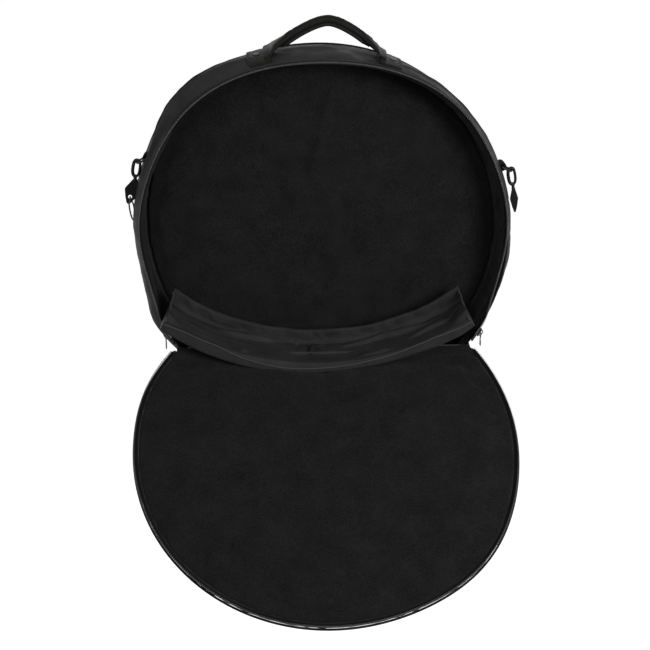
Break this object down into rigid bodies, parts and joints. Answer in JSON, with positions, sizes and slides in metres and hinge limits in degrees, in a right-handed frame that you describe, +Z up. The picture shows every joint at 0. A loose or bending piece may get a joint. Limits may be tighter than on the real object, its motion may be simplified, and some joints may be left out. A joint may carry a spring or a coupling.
{
  "type": "cymbal bag",
  "caption": "Round padded cymbal bag hung by its rolled handle, zipped lid folded down over a padded cradle, rings and clips for a shoulder strap at its sides.",
  "frame": {"origin": "underside of the grip's peak, where the bag hangs", "axes": "+Z up, +Y from the open front to the back, +X to the right seen from the front"},
  "size_m": [0.6298, 0.4713, 0.7977],
  "materials": {
    "leathercloth": "satin grained leathercloth",
    "padding_foam": "soft padding",
    "fleece": "napped lining",
    "nylon": "thin woven nylon",
    "leather": "smooth rolled and stitched leather",
    "piping_cord": "bound cord, satin",
    "pale_binding": "woven edge binding",
    "zip_tape": "woven tape",
    "zip_coil": "nylon coil",
    "webbing": "woven webbing",
    "black_metal": "black plated wire",
    "bright_metal": "nickel plated"
  },
  "bodies": {
    "shell": {"apron_lining": "fleece", "apron_padding": "padding_foam", "apron_panel": "leathercloth", "back_lining": "fleece", "back_padding": "padding_foam", "back_panel": "leathercloth", "back_piping": "piping_cord", "cradle_binding_left": "pale_binding", "cradle_binding_right": "pale_binding", "cradle_cover": "fleece", "cradle_end_left": "nylon", "cradle_end_right": "nylon", "cradle_liner": "nylon", "cradle_padding": "padding_foam", "cradle_piping": "pale_binding", "fold_binding_left": "leathercloth", "fold_binding_right": "leathercloth", "fold_sling": "fleece", "front_piping": "piping_cord", "handle_keeper_left": "leather", "handle_keeper_right": "leather", "handle_patch_left": "leather", "handle_patch_right": "leather", "handle_rivet_left": "bright_metal", "handle_rivet_right": "bright_metal", "lower_edge_band": "leathercloth", "side_lining": "fleece", "side_padding": "padding_foam", "side_tab_left": "webbing", "side_tab_right": "webbing", "side_wall": "leathercloth", "zip_coil_body": "zip_coil", "zip_end_tab_left": "leather", "zip_end_tab_right": "leather", "zip_tape_body": "zip_tape"},
    "lid": {"lid_panel": "leathercloth", "lid_padding": "padding_foam", "lid_lining": "fleece", "lid_border": "leathercloth", "lid_piping": "piping_cord", "zip_tape_lid": "zip_tape", "zip_coil_lid": "zip_coil"},
    "handle": {"handle_grip": "leather", "handle_seam": "leather"},
    "slider_left": {"zip_slider_left": "bright_metal"},
    "slider_right": {"zip_slider_right": "bright_metal"},
    "pull_left": {"zip_pull_left": "bright_metal"},
    "pull_right": {"zip_pull_right": "bright_metal"},
    "ring_left": {"d_ring_left": "black_metal"},
    "ring_right": {"d_ring_right": "black_metal"},
    "clip_left": {"strap_clip_left": "black_metal"},
    "clip_right": {"strap_clip_right": "black_metal"},
    "strap_end_left": {"strap_tab_left": "leather"},
    "strap_end_right": {"strap_tab_right": "leather"},
    "loop_left": {"strap_loop_left": "bright_metal"}
  },
  "joints": [
    {"name": "lid_hinge", "type": "hinge", "parent": "shell", "child": "lid", "pos_m": [0, -0.05202, -0.49496], "axis": [-1, 0, 0], "range_deg": [0, 126.5], "deforming": ["cradle_binding_left", "cradle_binding_right", "cradle_cover", "cradle_end_left", "cradle_end_right", "cradle_liner", "cradle_padding", "cradle_piping", "fold_sling"]},
    {"name": "handle_flop", "type": "hinge", "parent": "shell", "child": "handle", "pos_m": [0, 0, -0.03173], "axis": [1, 0, 0], "range_deg": [-45, 45]},
    {"name": "slider_left_run", "type": "hinge", "parent": "shell", "child": "slider_left", "pos_m": [0, -0.05202, -0.3245], "axis": [0, 1, 0], "range_deg": [0, 118]},
    {"name": "slider_right_run", "type": "hinge", "parent": "shell", "child": "slider_right", "pos_m": [0, -0.05202, -0.3245], "axis": [0, -1, 0], "range_deg": [0, 118]},
    {"name": "pull_left_swing", "type": "hinge", "parent": "slider_left", "child": "pull_left", "pos_m": [-0.25096, -0.05202, -0.47533], "axis": [0, 1, 0], "range_deg": [0, 100]},
    {"name": "pull_right_swing", "type": "hinge", "parent": "slider_right", "child": "pull_right", "pos_m": [0.25096, -0.05202, -0.47533], "axis": [0, -1, 0], "range_deg": [0, 100]},
    {"name": "ring_left_swing", "type": "hinge", "parent": "shell", "child": "ring_left", "pos_m": [-0.27198, 0, -0.19767], "axis": [0, 1, 0], "range_deg": [0, 60]},
    {"name": "ring_right_swing", "type": "hinge", "parent": "shell", "child": "ring_right", "pos_m": [0.27922, 0, -0.21451], "axis": [0, -1, 0], "range_deg": [0, 60]},
    {"name": "clip_left_swing", "type": "hinge", "parent": "ring_left", "child": "clip_left", "pos_m": [-0.28849, 0, -0.20645], "axis": [0, 1, 0], "range_deg": [0, 45]},
    {"name": "clip_right_swing", "type": "hinge", "parent": "ring_right", "child": "clip_right", "pos_m": [0.29573, 0, -0.22329], "axis": [0, -1, 0], "range_deg": [0, 45]},
    {"name": "strap_end_left_swivel", "type": "hinge", "parent": "clip_left", "child": "strap_end_left", "pos_m": [-0.29374, 0, -0.23619], "axis": [0.1736, 0, 0.9848], "range_deg": [-60, 60]},
    {"name": "strap_end_right_swivel", "type": "hinge", "parent": "clip_right", "child": "strap_end_right", "pos_m": [0.30097, 0, -0.25303], "axis": [-0.1736, 0, 0.9848], "range_deg": [-60, 60]},
    {"name": "loop_left_swing", "type": "hinge", "parent": "strap_end_left", "child": "loop_left", "pos_m": [-0.30514, 0, -0.25956], "axis": [0, 1, 0], "range_deg": [-10, 10]}
  ]
}
